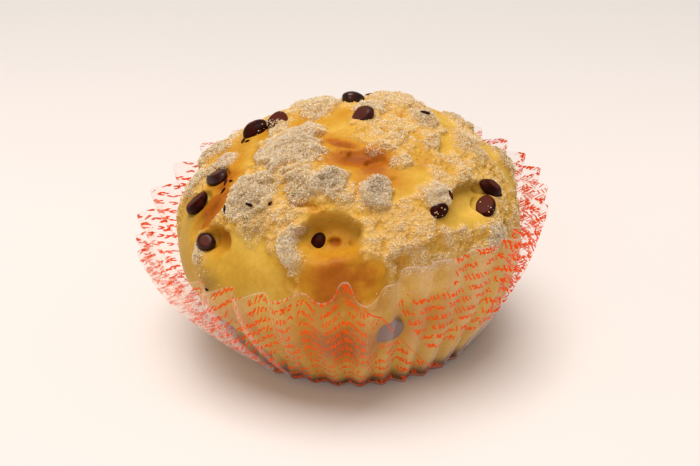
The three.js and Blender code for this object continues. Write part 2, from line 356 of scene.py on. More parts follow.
# swellings over buried chips: azimuth, elevation, half wide, half tall, height, raggedness, grey, sugar
lumps = [
    (-151, 54, 8.2, 7.2, 1.7, 0.5, 0.3, 1), (134, 61, 6.5, 5.5, 1.3, 0.5, 0, 0.8),
    (-141, 32, 7.2, 6.5, 1.8, 0.5, 0.6, 0.9), (-120, 40, 4.4, 4.6, 1.3, 0.5, 0.6, 0.8),
    (-110, 46, 4.8, 4.4, 1.7, 0.6, 0.9, 1), (-83, 42, 4.4, 4.4, 2, 0.8, 0.8, 1),
    (-112, 21, 4.4, 5.4, 1.9, 0.7, 0.1, 1), (-52.5, 35, 4, 4, 2, 0.8, 0, 1),
    (18, 61, 5.4, 3.8, 1, 0.4, 0.6, 0.7), (-3, 42, 5.4, 4.8, 1.2, 0.3, 0.5, 0.5),
    (-130, 24, 4.4, 4.8, 0.9, 0.4, 0.6, 0.35), (-33, 12, 4.8, 4.2, 1.1, 0.4, 0.4, 1),
    (12, 23, 4.4, 5.2, 1.5, 0.3, 0.7, 0.6), (-140.5, 0, 4.6, 4.4, 1.6, 0, 0.6, 0.1),
    (-149, 7, 3.4, 2.4, 0.6, 0.4, 0, 0.8), (62, 56, 9, 7, 2.2, 0.3, 0, 0.6),
    (-168, 60, 5, 4, 0.8, 0.5, 0.2, 0.8), (165, 24, 5.5, 5, 1.2, 0.4, 0.5, 0.8),
    (40, 30, 5, 5, 1.2, 0.5, 0.5, 0.8), (75, 22, 5, 4.5, 1.4, 0.5, 0.5, 0.8),
    (110, 32, 6, 5, 1.4, 0.6, 0.3, 0.9), (140, 16, 4.5, 4.5, 1.3, 0.5, 0.6, 0.6),
    (100, 8, 4.5, 4, 1, 0.3, 0.5, 0.4), (80, 76, 4.5, 4, 1, 0.6, 0.1, 0.8),
    (-127, 47, 3, 2.4, 0.8, 0.6, 0.2, 0.8), (-98, 40, 3.2, 1.8, 0.7, 0.6, 0, 0.7),
    (-165, 66, 4, 3, 0.8, 0.6, 0, 0.7), (-60, 55, 3, 2.2, 0.6, 0.5, 0, 0.6),
    (-70, 66, 4, 2.2, 0.6, 0.5, 0, 0.5), (-40, 70, 4, 3, 0.7, 0.5, 0.1, 0.5),
    (-20, 56, 3.5, 2.5, 0.6, 0.5, 0.3, 0.6), (-120, 30, 3, 2.4, 0.7, 0.5, 0.1, 0.5),
    (-75, 20, 3, 2.2, 0.6, 0.5, 0, 0.5), (-60, 14, 3.4, 2.4, 0.5, 0.5, 0, 0.5),
    (-178, 21, 3.6, 6, 0.7, 0.4, 0.3, 0.9), (-177, 31, 3.4, 3, 1.1, 0.5, 0.1, 1),
    (-30, 38, 3.5, 2.4, 0.7, 0.5, 0.1, 0.5), (173, 52, 5, 2.6, 0.9, 0.6, 0.1, 0.7),
]

# hollows and dents: azimuth, elevation, half wide, half tall, depth, sharpness of the edge
hollows = [
    (-100, 23.5, 8.4, 6.6, 5, 0.86), (-92, 11, 7.5, 7, 1.4, 0.3), (-98.5, 22.5, 2.2, 1.5, 1.2, 0.5),
    (-91.5, 22, 0.9, 0.7, 0.8, 0.4), (-90, 60, 6.5, 4, 1.3, 0.4), (-78, 58.5, 3.4, 1.7, 1, 0.55),
    (-114, 68, 4.4, 0.9, 1, 0.4), (-110, 63, 0.9, 0.5, 1, 0.4), (-103, 63.5, 0.9, 0.5, 1, 0.4),
    (-36, 28, 7.6, 5, 2.2, 0.88), (-157, 12, 2, 5, 1.5, 0.4), (-143, 13, 4.8, 3.8, 2.4, 0.75),
    (-154, 27, 1.2, 2.4, 1, 0.4), (-133, 30, 1.6, 0.9, 0.9, 0.4), (-113, 34, 4.2, 0.8, 0.8, 0.4),
    (150, 66, 5, 1, 1, 0.4), (-161, 25, 0.7, 2.2, 0.9, 0.4), (-168, 31, 2.4, 0.5, 0.9, 0.4),
    (-165, 29.5, 2, 0.45, 0.8, 0.4), (-70, 47, 2.2, 0.6, 0.7, 0.4),
]

# where the cookie crust has parted and the smooth bread shows: azimuth, elevation, half wide, half tall
bare = [
    (178, 34, 9, 7), (-166, 30, 8, 5), (-156, 21, 4.5, 8), (176, 62, 8, 3.5), (-120, 68, 9, 2.8),
    (170, 46, 6, 4), (150, 74, 9, 5), (-92, 60, 10, 4.5), (-79, 50, 6.5, 6), (-70, 44, 5, 4),
    (-58, 47, 4.5, 3.2), (-126, 8, 13, 8.5), (-100, 24, 8.8, 6.8), (-95, 11, 9.5, 8.5), (-84, 12, 5, 5),
    (-38, 27, 8, 4.8), (-143, 13, 5, 4), (-157, 6, 6, 6), (-12, 51, 6, 2), (6, 33, 4, 3.6),
    (0, 18, 3.2, 6), (36, 46, 6, 4), (-50, 27, 4, 3.5), (-165, 8, 6, 9), (130, 44, 5, 3), (60, 36, 6, 3),
    (90, 46, 6, 3),
]

# baked colour: azimuth, elevation, half wide, half tall, strength
baked = [
    (-178, 33, 11, 7, 0.6), (-164, 29, 8, 5.5, 0.85), (-155, 20, 4.5, 8, 1), (-165, 45, 6, 4, 0.6),
    (168, 46, 7, 4, 0.5), (150, 74, 10, 6, 0.4), (-150, 34, 6, 4, 0.4), (-118, 52, 8, 3, 0.4),
    (176, 62, 10, 4.5, 0.45), (-120, 69, 10, 3, 0.8), (-94, 61, 11, 5, 1), (-79, 50, 8, 6, 0.65),
    (-101, 25, 7.4, 5.4, 0.42), (-98.5, 22.5, 2.6, 1.9, 0.95), (-94, 10, 13, 9, 0.86),
    (-85, 8, 7, 6, 0.6), (-80, 57, 7, 3, 0.95), (-81, 54, 6, 4, 0.9), (-143, 14, 5, 4, 0.65),
    (-113, 34, 7, 2, 0.55), (-70, 46, 3, 2.5, 0.6), (-50, 50, 9, 3, 0.35), (60, 70, 9, 4, 0.35),
    (-40, 60, 12, 4, 0.3), (130, 44, 7, 4, 0.5), (90, 46, 8, 4, 0.5), (-96, 2, 9, 6, 0.55),
    (-140, 45, 14, 3, 0.3), (10, 74, 9, 5, 0.45), (-130, 63, 6, 3, 0.5), (-94, -14, 15, 10, 0.85),
    (-60, -12, 16, 9, 0.5), (-130, -14, 16, 8, 0.5),
]

# pale, sugary stretches of the crust: azimuth, elevation, half wide, half tall, strength
pale = [
    (-62, 22, 15, 11, 0.9), (-25, 46, 12, 10, 0.7), (-40, 12, 14, 9, 0.6), (8, 22, 15, 14, 0.8),
    (-78, 30, 8, 5, 0.6), (-45, 62, 12, 8, 0.5), (35, 60, 12, 10, 0.5), (-100, 38, 12, 4, 0.4),
    (165, 20, 12, 14, 0.6), (80, 30, 30, 20, 0.5), (-105, 75, 6, 3, 0.3), (-15, 3, 12, 10, 0.6),
]


def marksOn(out, reach, marks):
    # for each mark, how far every direction is from its middle, in its own half sizes, as two flat arrays
    farAway = 9.0  # for directions on the other side of the bun
    for mark in marks:
        centre, level, up = facing(mark[0], mark[1])
        ahead = out @ centre > 0
        yield [np.where(ahead, out @ way * reach / half, farAway)
               for way, half in ((level, mark[2]), (up, mark[3]))]


def spotsOn(out, reach, marks):
    # the strongest of soft spots: strength * exp(-distance^2)
    total = np.zeros(reach.shape)
    for mark, (across, along) in zip(marks, marksOn(out, reach, marks)):
        total = np.maximum(total, mark[4] * np.exp(-np.hypot(across, along) ** 2))
    return total


def slackAt(azimuth, height):
    # how far the underside hangs clear of the case: a bell round its azimuth, fading above and at the foot
    bell = np.exp(-(azimuthGap(azimuth, bunForm["slackAzimuth"]) / bunForm["slackHalfWidth"]) ** 2)
    upper = 1 - smooth(*bunForm["slackFade"], height)
    return bunForm["slack"] * bell * smooth(0, bunForm["slackFoot"], height) * upper


def reachToWall(out):
    # halve the span between inside and outside the wall until the reach is known to 0.01
    near, far = np.zeros(out.shape[:-1]), np.full(out.shape[:-1], 2 * bunForm["halfWidth"])
    for _ in range(bunForm["wallHalvings"]):
        middle = (near + far) / 2
        place = bunForm["heart"] + out * middle[..., None]
        x, y = place[..., 0] - caseForm["floorCentreX"], place[..., 1]
        azimuth = np.degrees(np.arctan2(y, x))
        rim = rimAt(azimuth)[1]
        share = np.clip(place[..., 2] / rim, 0, 1)
        follow = bunForm["imprint"] * (1 - smooth(0.5, 0.95, place[..., 2] / rim))
        wall = wallRadius(azimuth, place[..., 2]) - bunForm["wallClearance"] - slackAt(azimuth, place[..., 2])
        wall = wall - (1 - follow) * fluteDepth(azimuth, share) + follow * fluteOffset(azimuth, share)
        inside = (np.hypot(x, y) < wall) | (place[..., 2] > rim + bunForm["rimOverhang"])
        near, far = np.where(inside, middle, near), np.where(inside, far, middle)
    return near


# the crust: sizes of its noises and clumps, how ragged its edges are, and how far each kind stands out
crustForm = {
    "warpSize": 5.0, "raggedSize": 2.2, "clusterSize": 5.2, "clumpSize": 2.6, "crumbSize": 1.3,
    "speckSize": 0.8, "swellSize": 11.0, "swell": 0.55, "grainSize": 1.4, "grain": 0.06,
    "partedWarp": 0.28, "partedRagged": 0.16, "lumpWarp": 0.32, "lumpRagged": 0.3,
    # hollows are ragged from this half width and open from this depth
    "hollowWarp": 0.1, "hollowRagged": 0.05, "raggedHollow": 2.0, "openHollow": 1.9,
    "thickness": 0.35, "base": 0.1, "clusters": 0.42, "clumps": (0.12, 0.24), "crumbs": (0.08, 0.22),
    "specks": 0.12, "rightCalm": 0.3, "footShadeHeights": (1.2, 5.5), "coveredBelowRim": (-4.0, -1.0),
}


def bunSurface(out):
    # a superellipse dome smoothly held inside the wall, with its relief and the masks for the materials
    form = crustForm
    half = np.where(out[..., 2] > 0, bunForm["topHeight"] - bunForm["heart"][2], bunForm["undersideDepth"])
    n, k = bunForm["roundness"], bunForm["pressing"]
    level, upright = np.hypot(out[..., 0], out[..., 1]) / bunForm["halfWidth"], np.abs(out[..., 2]) / half
    dome, wall = (level ** n + upright ** n) ** (-1 / n), reachToWall(out)
    reach = (dome ** -k + wall ** -k) ** (-1 / k)
    place = out * reach[..., None]
    warp = fractalNoise(place, form["warpSize"], 11)
    ragged = fractalNoise(place, form["raggedSize"], 21)

    # the crust parts along uneven edges
    parted = np.zeros(reach.shape)
    for across, along in marksOn(out, reach, bare):
        away = np.hypot(across, along) + form["partedWarp"] * warp + form["partedRagged"] * ragged
        parted = np.maximum(parted, 1 - smooth(0.85, 1.1, away))
    height = bunForm["heart"][2] + place[..., 2]
    fromAxis = place[..., 0] + bunForm["heart"][0] - caseForm["floorCentreX"]
    azimuth = np.degrees(np.arctan2(place[..., 1], fromAxis))
    covered = 1 - smooth(*form["coveredBelowRim"], height - rimAt(azimuth)[1] + 0.8 * warp)
    low = 1 - smooth(-0.12, 0.1, out[..., 2] + 0.06 * warp)
    crust = (1 - parted) * (1 - 0.85 * low) * (1 - 0.5 * covered)

    # lumps: part rounded mound, part ragged plateau
    mound, grey, sugar = np.zeros((3, *reach.shape))
    for mark, (across, along) in zip(lumps, marksOn(out, reach, lumps)):
        away = np.hypot(across, along) + form["lumpWarp"] * warp + form["lumpRagged"] * ragged
        plateau = (1 - smooth(0.72, 1.02, away)) * (1 - 0.35 * away ** 2)
        mound = mound + mark[4] * ((1 - mark[5]) * np.exp(-away ** 2) + mark[5] * plateau)
        core = 1 - smooth(0.3, 1.0, np.hypot(across, along - 0.15) + 0.3 * warp)
        grey = np.maximum(grey, mark[6] * core)
        sugar = np.maximum(sugar, mark[7] * (1 - smooth(0.7, 1.1, away)))

    # hollows: depth * a smooth fall from the edge, the upper lip sharp and the foot running out softly
    dent, inHollow = np.zeros((2, *reach.shape))
    uneven = form["hollowWarp"] * warp + form["hollowRagged"] * ragged
    for mark, (across, along) in zip(hollows, marksOn(out, reach, hollows)):
        away = np.hypot(across, along) + (uneven if mark[2] > form["raggedHollow"] else 0)
        edge = mark[5] * smooth(-0.9, 0.2, along)
        dent = dent + mark[4] * (1 - smooth(0, 1, (away - edge) / (1 - edge)))
        if mark[4] > form["openHollow"]:
            inHollow = np.maximum(inHollow, 1 - smooth(0.8, 1.0, away))
    lumpMask = np.clip(sugar * 1.3, 0, 1)
    mound = mound * (1 - 0.8 * inHollow)

    # clusters of clumps of crumbs, calmer on the right
    clusters = clumpNoise(place + 1.1 * warp[..., None], form["clusterSize"], 33)
    clusters = smooth(0.42, 0.8, clusters + 0.3 * ragged)
    clumps = clumpNoise(place, form["clumpSize"], 31)
    crumbs = clumpNoise(place, form["crumbSize"], 41)
    specks = clumpNoise(place, form["speckSize"], 43)
    rough = crust * (1 - inHollow)
    bumpy = form["clusters"] * clusters + form["specks"] * specks
    for kind, (alone, clustered) in ((clumps, form["clumps"]), (crumbs, form["crumbs"])):
        bumpy = bumpy + (alone + clustered * clusters) * kind
    right = smooth(-0.35, 0.35, out[..., 0])
    bumpy = form["base"] + bumpy * (1 - form["rightCalm"] * right)
    lumpy = 0.3 * clumps + 0.25 * crumbs + 0.3 * ragged + 0.12 * specks
    swell = form["swell"] * fractalNoise(place, form["swellSize"], 51, 2)
    grain = form["grain"] * fractalNoise(place, form["grainSize"], 61, 2)
    relief = mound - dent + (rough * bumpy - form["thickness"] + swell + grain) * (1 - low)
    relief = relief + lumpMask * (1 - inHollow) * lumpy

    tops = clusters * (0.45 + 0.55 * smooth(0.3, 0.8, clumps + 0.35 * ragged))
    spread = rough * tops * (0.2 + 0.24 * smooth(-0.3, 0.5, warp + 0.3 * right))
    sugar = np.clip(np.maximum(sugar * (0.7 + 0.3 * crumbs), spread) * (1 - inHollow), 0, 1)
    masks = {
        "crust": crust, "grey": grey * (1 - inHollow), "clump": rough * clusters * (0.65 + 0.35 * crumbs),
        "bake": np.clip(spotsOn(out, reach, baked) + 0.12 * warp * (1 - low), 0, 1),
        "pale": np.clip(spotsOn(out, reach, pale) * (0.75 + 0.25 * warp) * (1 - parted), 0, 1),
        "sugar": sugar * (1 - low) * (1 - 0.9 * covered),
        # the foot: dark brown low on the bun, partly its baked underside and partly painted contact shade at
        # the floor
        "foot": 1 - smooth(*form["footShadeHeights"], height + 0.8 * warp),
    }
    return reach, relief, wall, masks


def bunPoints(out):
    # each direction's point: heart + direction * reach, kept above the floor and inside the wall, then leaned
    reach, relief, wall, masks = bunSurface(out)
    toFloor = (bunForm["heart"][2] - bunForm["floor"]) / np.maximum(-out[..., 2], 1e-6)
    kept = np.minimum(np.minimum(reach + relief, np.maximum(wall, reach)), toFloor)
    points = bunForm["heart"] + out * kept[..., None]
    climb = (points[..., 2] - bunForm["heart"][2]) / (bunForm["topHeight"] - bunForm["heart"][2])
    points[..., 0] += bunForm["topLean"] * np.clip(climb, 0, None) ** 2
    return points, masks


# azimuth, elevation, half length, half width, half height, turn, how far the middle stands out of the crust
chips = [
    (162, 41, 3.6, 3.4, 2.5, 70, 0.5), (163, 51, 3.5, 2.6, 2.1, 0, 0.4),
    (-169, 27, 3.9, 2.5, 1.9, 35, 0.2), (-165, 17.5, 4.3, 2.9, 2.2, 55, 0.6),
    (-148, 11, 2.6, 2.2, 1.9, 0, 0.4), (99, 62, 3.1, 2.5, 2.2, 20, 0.9), (83, 54, 1.8, 1.6, 1.5, 0, 0),
    (100, 87, 3.1, 2.7, 2.2, -15, 0.2), (-21, 27, 3.6, 2.3, 1.9, -45, 0.2),
    (-30, 23.5, 3.1, 2.6, 1.9, 40, 0.2), (-105.5, 22, 2.3, 1.8, 1.8, 75, -0.2),
    (-55, 30, 2.4, 1.9, 1.7, 0, 0.5), (-77, -12, 4.3, 3.5, 1.4, 0, -1),
]
# broken bits of chocolate: azimuth, elevation, half size
brokenBits = [
    (168, 36.5, 0.9), (171, 38.5, 0.6), (-162, 29, 0.8), (-159.5, 30.5, 0.5), (-158, 26.5, 0.6),
    (-135, 29, 0.6), (-128.5, 31.5, 0.5), (-146, 23.5, 0.8), (-140.5, -1.5, 0.5), (-48, 34, 0.8),
    (-19, 23, 0.7), (18, 62, 0.8),
]
# chips on the side that the photo doesn't show
farChips = [
    (120, 22, 2.8, 2.2, 2, 30, 0.4), (88, 28, 2.9, 2.3, 2, -20, 0.4), (55, 18, 2.7, 2.2, 1.9, 60, 0.4),
    (104, 8, 2.5, 2.1, 1.8, 10, 0.3), (30, 16, 2.6, 2.2, 1.8, 15, 0.3),
]
# a chip's flat foot, where it shows: the way it faces (level, up, out) and its distance from the middle
chipFeet = {
    0: (-0.2, 0.2, 0.96, 0.86), 1: (0.35, 0.75, 0.55, 0.35), 2: (-0.3, 0.5, 0.8, 0.7),
    3: (-0.35, 0.5, 0.8, 0.45), 4: (0.3, 0.2, 0.9, 0.75), 6: (0.2, 0.4, 0.8, 0.5), 7: (0.6, 0.15, 0.75, 0.5),
    8: (0.2, 0.2, 0.95, 0.8), 9: (-0.45, 0.6, 0.65, 0.4), 12: (0, 0, 1, 0.5), 13: (0.3, 0.4, 0.8, 0.5),
    15: (-0.4, 0.3, 0.8, 0.6),
}
chipForm = {
    "columns": 28, "rows": 18, "uneven": 0.07, "unevenSize": 0.7, "taper": 0.22, "flatten": 0.9,
    "noFoot": (0, 0, -1, 0.9), "lip": 1.22, "lipWidth": 0.2, "lipRise": 0.3, "seat": 0.9, "seatWidth": 0.95,
    # the crust's distance from the heart, below and above an elevation
    "reach": 43.0, "reachAbove": 36.0, "steep": 45,
}
bitForm = {"long": 1.4, "wide": 0.75, "high": 0.6, "turn": 70, "rise": 0.05, "uneven": 0.4}


def seatChips(out, points):
    # the crust is sunk under each chip, by seat * exp(-distance^6), and stands in a thin lip round it
    for chip in chips + farChips:
        centre, level, up = facing(chip[0], chip[1])
        turn = math.radians(chip[5])
        along = np.cos(turn) * level + np.sin(turn) * up
        across = np.cross(centre, along)
        reach = chipForm["reach"] if abs(chip[1]) < chipForm["steep"] else chipForm["reachAbove"]
        away = np.hypot(out @ along * reach / chip[2], out @ across * reach / chip[3])
        away = np.where(out @ centre > 0, away, 9.0)
        lip = chipForm["lipRise"] * np.exp(-((away - chipForm["lip"]) / chipForm["lipWidth"]) ** 2)
        seat = chipForm["seat"] * np.exp(-(away / chipForm["seatWidth"]) ** 6)
        points += out * (lip - seat)[..., None]
    return points


print("forms set")

# the bun's grid, closest at the front, with a point at each pole
turn = 2 * np.pi * np.arange(bunForm["columns"]) / bunForm["columns"]
azimuths = -90 + np.degrees(turn - bunForm["frontDensity"] * np.sin(turn))
stations, counts = bunForm["rowStations"], bunForm["rowCounts"]
spans = [np.linspace(a, b, n + 1)[:-1] for a, b, n in zip(stations, stations[1:], counts)]
elevations = np.concatenate(spans)[1:]
bunOut = facing(*np.meshgrid(azimuths, elevations, indexing="ij"))[0]
bunGrid, bunMasks = bunPoints(bunOut)
bunGrid = seatChips(bunOut, bunGrid)
poles = facing(np.array([0.0, 0.0]), np.array([-90.0, 90.0]))[0]
polePoints, poleMasks = bunPoints(poles)
columns, rows = bunGrid.shape[:2]
bunFaces = gridFaces(columns, rows)
bunFans = [poleFan(columns, rows, columns * rows + last, last) for last in (0, 1)]
bunVertices = np.concatenate([bunGrid.reshape(-1, 3), polePoints])
bunMasks = {k: np.concatenate([v.ravel(), poleMasks[k]]) for k, v in bunMasks.items()}
print("bun surface", len(bunVertices), "vertices")

# the crust's colour, shared with the sugar that lies on it
crustLook = {
    "mottleScale": 260, "broadScale": 70, "crumb": ("c99b33", "d6ab47"),
    # from and to what baking each browner colour comes in
    "baking": [(0.05, 0.5, "c08418"), (0.45, 0.8, "a75b06"), (0.8, 1.15, "833d02")],
    # foot: the dark brown low on the bun, partly baked underside and partly painted contact shade
    "pale": "deb068", "grey": "66492f", "greyShare": 0.82, "foot": "541c03", "footShare": 0.9,
    "gap": "c4841c", "gapShare": 0.4, "granule": "ecbc7c", "granuleScale": 760, "granuleShare": 0.45,
    "speck": "f6d09c", "speckScale": 1500, "speckShare": 0.75,
    "freckle": (0.72, 0.62, 0.42, 1), "freckleScale": 900, "freckleShare": 0.28,
    "fineScale": 1400, "poreScale": 520, "bumpDepth": 0.0005,
}

tint, given, tintOut = makeGroup(
    "crustTint", {"Place": None, "Bake": 0.0, "Pale": 0.0, "Grey": 0.0, "Clump": 0.0, "Foot": 0.0},
    {"Color": "NodeSocketColor"})
mottle = noise(given["Place"], crustLook["mottleScale"], 3, 0.6)
broad = noise(given["Place"], crustLook["broadScale"], 2, 0.5)
bakeHere = given["Bake"] + (mottle - 0.5) * 0.5 - given["Clump"] * 0.3
colour = blend(remap(broad, 0.35, 0.65), *[paint(code) for code in crustLook["crumb"]])
for low, high, code in crustLook["baking"]:
    colour = blend(remap(bakeHere, low, high), colour, paint(code))
paleHere = (given["Pale"] * 0.45 + given["Clump"] * 0.6) * remap(mottle, 0.3, 0.65, 0.6, 1.0)
colour = blend(paleHere, colour, paint(crustLook["pale"]))
for label, key in (("Grey", "grey"), ("Foot", "foot")):
    colour = blend(given[label] * crustLook[key + "Share"], colour, paint(crustLook[key]))
feed(tintOut, {"Color": colour})


def crustColour():
    # the shared colour, fed from the attributes of the piece that has it
    inputs = {label: readAttribute(label.lower()) for label in ("Bake", "Pale", "Grey", "Clump", "Foot")}
    return value("ShaderNodeGroup", "Color", {"Place": objectPlace(), **inputs}, node_tree=tint)


crustMaterial, shader = makeMaterial("crust")
place, colour = objectPlace(), crustColour()
crusty, clumped = readAttribute("crust"), readAttribute("clump")
sugared = calc("MAXIMUM", readAttribute("sugar"), crusty * 0.3)
speck = remap(cellDistance(place, crustLook["speckScale"]), 0.2, 0.5, 1.0, 0.0) * remap(sugared, 0.1, 0.7)
granule = remap(cellDistance(place, crustLook["granuleScale"]), 0.15, 0.7, 1.0, 0.0) * crusty
gaps = crusty - calc("MAXIMUM", granule, clumped)
for factor, key in ((gaps, "gap"), (granule * clumped, "granule"), (speck, "speck")):
    colour = blend(factor * crustLook[key + "Share"], colour, paint(crustLook[key]))
freckle = remap(noise(place, crustLook["freckleScale"], 3, 0.65), 0.35, 0.68)
colour = blend(freckle * crustLook["freckleShare"], colour, crustLook["freckle"], "MULTIPLY")
fine = noise(place, crustLook["fineScale"], 3, 0.6) * 0.4
bump = fine + noise(place, crustLook["poreScale"], 2, 0.5) + speck + granule
feed(shader, {
    "Base Color": colour, "Roughness": remap(crusty, 0, 1, 0.55, 0.8), "Specular IOR Level": 0.15,
    "Normal": bumpOf(bump, crustLook["bumpDepth"], crusty * 0.6 + 0.15),
    "Subsurface Weight": 0.25, "Subsurface Radius": (1.0, 0.45, 0.15), "Subsurface Scale": 0.0015,
})
bun = makePiece("bun_crust", bunVertices, [bunFaces, *bunFans], crustMaterial)
for key, values in bunMasks.items():
    addAttribute(bun, key, values)
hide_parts("bun")
print("bun made")

chipLook = {
    # flat: the flat foot's paler colour, partly matte chocolate and partly painted light
    "dark": "200300", "light": "3e0f03", "flat": "642a1a", "litFlatShare": 0.5, "dust": "94807a",
    "bloomScale": 420, "bumpDepth": 0.0002,
    "gloss": {5: 1.0, 7: 0.5, 4: 0.5, 2: 0.4}, "dusty": {12: 0.75},  # by chip, counted from 0
}

chocolate, shader = makeMaterial("chocolate")
bloom = noise(objectPlace(), chipLook["bloomScale"], 3, 0.6)
gloss = readAttribute("gloss")
colour = blend(remap(bloom, 0.35, 0.75), paint(chipLook["dark"]), paint(chipLook["light"]))
# the flat foot is painted paler: partly matte chocolate, partly painted light on faces turned up to the lamps
colour = blend(readAttribute("flat") * chipLook["litFlatShare"], colour, paint(chipLook["flat"]))
feed(shader, {
    "Base Color": blend(readAttribute("dusty"), colour, paint(chipLook["dust"])),
    "Roughness": remap(bloom, 0.3, 0.7, 0.45, 0.6) - gloss * 0.35, "Specular IOR Level": gloss * 0.35 + 0.06,
    "Normal": bumpOf(bloom, chipLook["bumpDepth"], 0.3),
})


def turnedBy(turn, a, b):
    # a and b turned towards each other: cos * a + sin * b, and cos * b - sin * a
    return math.cos(turn) * a + math.sin(turn) * b, math.cos(turn) * b - math.sin(turn) * a


def chipPoints(chip, seed, uneven):
    # an ellipsoid narrowed away from its flat foot and made uneven by noise, seated on the crust
    centre, level, up = facing(chip[0], chip[1])
    steps = 0.02 * np.array([[0, 0], [1, 0], [0, 1]])
    around = unit(centre + steps[:, :1] * level + steps[:, 1:] * up)
    base, beside, above = bunPoints(around[None])[0][0]
    along, upward = unit(beside - base), unit(above - base)
    outward = unit(unit(np.cross(along, upward)) + centre)
    along = unit(along - outward * (along @ outward))
    along, across = turnedBy(math.radians(chip[5]), along, np.cross(outward, along))
    u = 2 * np.pi * np.arange(chipForm["columns"]) / chipForm["columns"]
    v = np.pi * (np.arange(chipForm["rows"]) + 0.5) / chipForm["rows"] - np.pi / 2
    u, v = np.meshgrid(u, v, indexing="ij")
    ball = np.stack([np.cos(u) * np.cos(v), np.sin(u) * np.cos(v), np.sin(v)], -1)
    ball = np.concatenate([ball.reshape(-1, 3), [[0, 0, -1], [0, 0, 1]]])
    footLevel, footUp, footOut, footAt = chipFeet.get(seed, chipForm["noFoot"])
    way = unit(np.array([*turnedBy(math.radians(chip[5]), footLevel, footUp), footOut]))
    ball = ball * (1 + uneven * latticeNoise(ball + seed * 7, chipForm["unevenSize"], 71 + seed)[:, None])
    forward = ball @ way
    ball = ball * (1 - chipForm["taper"] * smooth(0.1, 1.0, -forward))[:, None]
    beyond = np.clip(forward - footAt, 0, None)[:, None]
    sized = (ball - chipForm["flatten"] * beyond * way) * [chip[2], chip[3], chip[4]]
    points = base + centre * chip[6] + sized[:, :1] * along + sized[:, 1:2] * across + sized[:, 2:] * outward
    return points, smooth(0.0, 0.05, beyond[:, 0])


allChips = [(chip, chipForm["uneven"]) for chip in chips + farChips]
for k, (azimuth, elevation, half) in enumerate(brokenBits):
    sizes = [half * bitForm[key] for key in ("long", "wide", "high")]
    bit = (azimuth, elevation, *sizes, k * bitForm["turn"], bitForm["rise"])
    allChips.append((bit, bitForm["uneven"]))
chipBlocks, chipLitFlats = zip(*[chipPoints(chip, k, uneven) for k, (chip, uneven) in enumerate(allChips)])
chipSize = len(chipBlocks[0])
c, r = chipForm["columns"], chipForm["rows"]
oneChip = [gridFaces(c, r), *[poleFan(c, r, c * r + last, last) for last in (0, 1)]]
gathered = [np.concatenate([faces + k * chipSize for k in range(len(chipBlocks))]) for faces in oneChip]
chipVertices = np.concatenate(chipBlocks)
chipPiece = makePiece("chocolate_chips", chipVertices, gathered, chocolate)


def perChip(values):
    # a chip's own value at each of its vertices, and 0 where it has none
    return np.repeat([values.get(k, 0.0) for k in range(len(chipBlocks))], chipSize)


addAttribute(chipPiece, "gloss", perChip(chipLook["gloss"]))
addAttribute(chipPiece, "dusty", perChip(chipLook["dusty"]))
addAttribute(chipPiece, "flat", np.concatenate(chipLitFlats))
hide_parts(*[f"chip_{k + 1}" for k in range(len(chips))])
print("chips made")

# how many, smallest and largest size, how closely they keep to the sugared places, lift, whiteness, seed
sugarKinds = {
    "sugar_crystals": (23000, 0.26, 0.48, 3.0, 0.06, 0.48, 101),
    "sugar_grains": (20000, 0.22, 0.40, 1.6, 0.03, 0.66, 102),
    "sugar_dust": (20000, 0.16, 0.28, 1.2, 0.02, 0.66, 103),
    "sugar_on_chips": (330, 0.18, 0.36, 2.0, 0.02, 0.5, 104),
}
sugarLook = {
    "beneath": (1.0, 0.84, 0.58, 1), "white": "ffe0ba", "toneSpread": 0.24, "bySugar": 0.2, "usualSugar": 0.6,
    "byGrey": 0.28, "paintedGlints": 0.2, "paintedGlint": 0.5, "crystal": 0.62, "uneven": 0.16,
    "sugaredChips": {0: 0.3, 1: 0.8, 2: 0.9, 9: 0.25, 11: 0.4}, "patchSize": 2.4,
}
sugarKeys = ("bake", "pale", "grey", "clump", "foot")

sugarMaterial, shader = makeMaterial("sugar")
tone = readAttribute("tone")
beneath = blend(1.0, crustColour(), sugarLook["beneath"], "MULTIPLY")
feed(shader, {
    "Base Color": blend(tone, beneath, paint(sugarLook["white"])),
    "Roughness": remap(tone, 0, 1, 0.5, 0.25), "Specular IOR Level": 0.45,
    "Subsurface Weight": 0.7, "Subsurface Radius": (1.0, 0.8, 0.6), "Subsurface Scale": 0.0008,
})


def groundOf(vertices, quads, masks):
    # what sugar lies on: each quad's corners, normal, area and the mean of each mask over it
    p = vertices[quads]
    across = np.cross(p[:, 2] - p[:, 0], p[:, 3] - p[:, 1])
    means = {key: masks[key][quads].mean(1) for key in ("sugar", *sugarKeys)}
    return {"corners": p, "normal": unit(across), "area": 0.5 * np.linalg.norm(across, axis=1), **means}


# an eight-sided crystal
crystal = np.stack([np.eye(3), -np.eye(3)], 1).reshape(-1, 3) * sugarLook["crystal"]
crystalFaces = np.array([
    [0, 2, 4], [2, 1, 4], [1, 3, 4], [3, 0, 4], [2, 0, 5], [1, 2, 5], [3, 1, 5], [0, 3, 5]])


def turnsFrom(quaternions):
    # the turning matrix of each unit quaternion
    w, x, y, z = quaternions.T
    return np.stack([
        1 - 2 * (y * y + z * z), 2 * (x * y - w * z), 2 * (x * z + w * y),
        2 * (x * y + w * z), 1 - 2 * (x * x + z * z), 2 * (y * z - w * x),
        2 * (x * z - w * y), 2 * (y * z + w * x), 1 - 2 * (x * x + y * y)], -1).reshape(-1, 3, 3)


